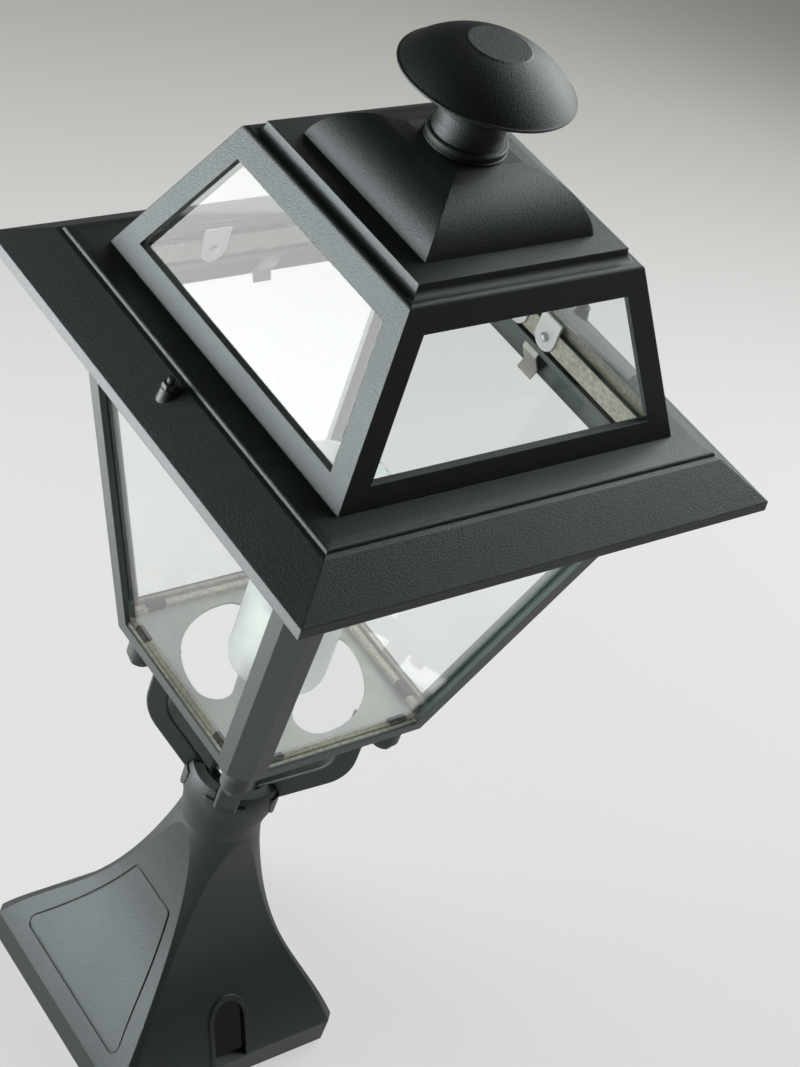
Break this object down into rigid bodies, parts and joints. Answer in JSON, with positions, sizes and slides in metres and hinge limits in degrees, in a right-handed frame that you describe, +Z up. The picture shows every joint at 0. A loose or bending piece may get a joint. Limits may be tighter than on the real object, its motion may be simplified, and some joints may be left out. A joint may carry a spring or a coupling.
{
  "type": "post top lantern",
  "caption": "Square post top lantern: flared foot, curved arms under a tapering glazed body, wide glazed roof that lifts off, cushion cap and mushroom finial.",
  "frame": {"origin": "centre of the foot's underside, where the lantern stands on its post or pier", "axes": "+Z up along the lantern's centre line; -Y is the front, the face with the foot's panel; +X is the face with the cable notch"},
  "size_m": [0.3008, 0.3008, 0.7156],
  "materials": {
    "black_casting": "fine-textured black powder coat on cast aluminium",
    "clear_glass": "clear float glass, polished",
    "frosted_glass": "etched glass",
    "pale_plate": "satin sheet",
    "black_rubber": "matt",
    "clear_nylon": "translucent, moulded",
    "stainless_steel": "plain turned",
    "black_screw": "blackened",
    "zinc_steel": "zinc plated",
    "glazed_ceramic": "white glaze, stands in for porcelain",
    "brass": "plain"
  },
  "bodies": {
    "base": {"pedestal": "black_casting", "cradle": "black_casting", "body_bottom_frame": "black_casting", "body_top_frame": "black_casting", "corner_post_front_left": "black_casting", "corner_post_front_right": "black_casting", "corner_post_back_left": "black_casting", "corner_post_back_right": "black_casting", "body_glass_front": "clear_glass", "body_glass_right": "clear_glass", "body_glass_back": "clear_glass", "body_glass_left": "clear_glass", "floor_plate": "pale_plate", "diffuser": "frosted_glass", "glass_pads": "black_rubber", "roof_gasket": "black_rubber", "roof_studs": "stainless_steel", "pane_clips": "stainless_steel", "pane_clip_screws": "stainless_steel", "corner_screws": "black_screw", "cradle_stem": "zinc_steel", "stem_top_nut": "zinc_steel", "stem_bottom_nut": "zinc_steel", "stem_washer": "zinc_steel", "lampholder": "glazed_ceramic", "lampholder_shell": "brass", "lampholder_contact": "brass", "lampholder_nipple": "zinc_steel", "nipple_nut": "zinc_steel"},
    "roof": {"roof_brim": "black_casting", "roof_frame": "black_casting", "roof_cap": "black_casting", "finial": "black_casting", "finial_rod": "zinc_steel", "finial_washer": "zinc_steel", "finial_nut": "zinc_steel", "roof_pane_tabs": "clear_nylon", "roof_tab_screws": "stainless_steel", "roof_glass_front": "clear_glass", "roof_glass_right": "clear_glass", "roof_glass_back": "clear_glass", "roof_glass_left": "clear_glass"},
    "nut_front": {"roof_nut_front": "stainless_steel"},
    "nut_back": {"roof_nut_back": "stainless_steel"}
  },
  "joints": [
    {"name": "roof_lift", "type": "slide", "parent": "base", "child": "roof", "axis": [0, 0, 1], "range_m": [0, 0.15]},
    {"name": "nut_front_turn", "type": "hinge", "parent": "roof", "child": "nut_front", "pos_m": [0, -0.134, 0.5385], "axis": [0, 0, 1], "continuous": true},
    {"name": "nut_back_turn", "type": "hinge", "parent": "roof", "child": "nut_back", "pos_m": [0, 0.134, 0.5385], "axis": [0, 0, 1], "continuous": true}
  ]
}
